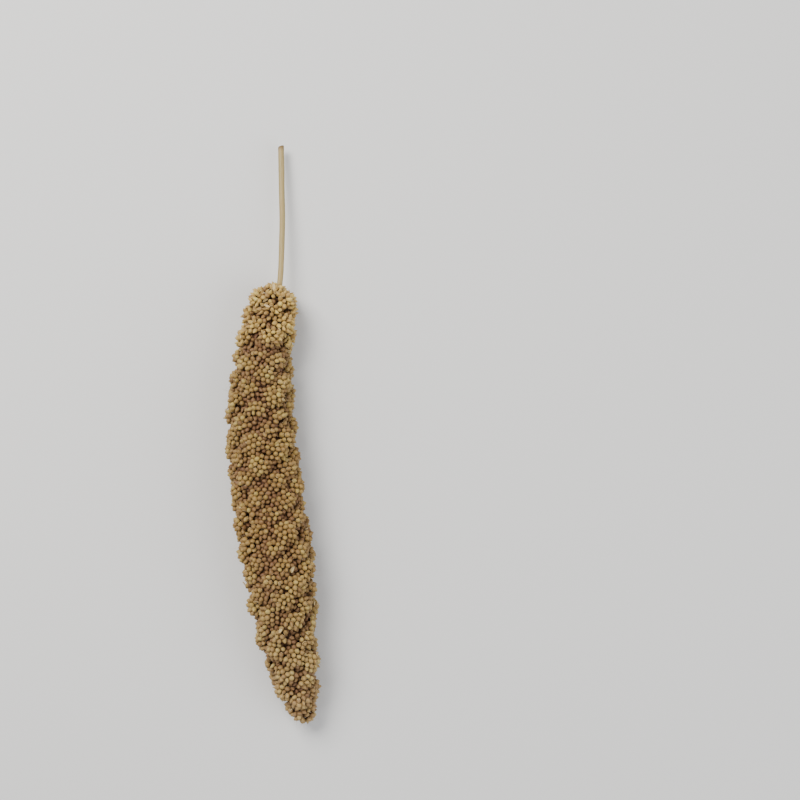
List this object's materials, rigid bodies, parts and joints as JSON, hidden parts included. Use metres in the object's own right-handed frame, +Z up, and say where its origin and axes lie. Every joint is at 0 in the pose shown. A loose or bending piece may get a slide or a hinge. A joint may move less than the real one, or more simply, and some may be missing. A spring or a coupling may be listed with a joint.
{
  "type": "millet seed head",
  "caption": "Dried foxtail millet seed head lying on its side: a bowed, tapering head of packed seed clusters on a short cut stalk.",
  "frame": {"origin": "on the surface it lies on, at the flattened top of the lowest seed cluster near the middle of the head", "axes": "+Y along the head towards the cut stalk, -Y towards the tip, +Z up from the surface it lies on, X across"},
  "size_m": [0.031, 0.1851, 0.0236],
  "materials": {
    "straw": "dry, finely ribbed straw",
    "millet_seed": "dry husks, satin"
  },
  "bodies": {
    "root": {"stalk": "straw", "seed_head": "millet_seed"}
  },
  "joints": []
}
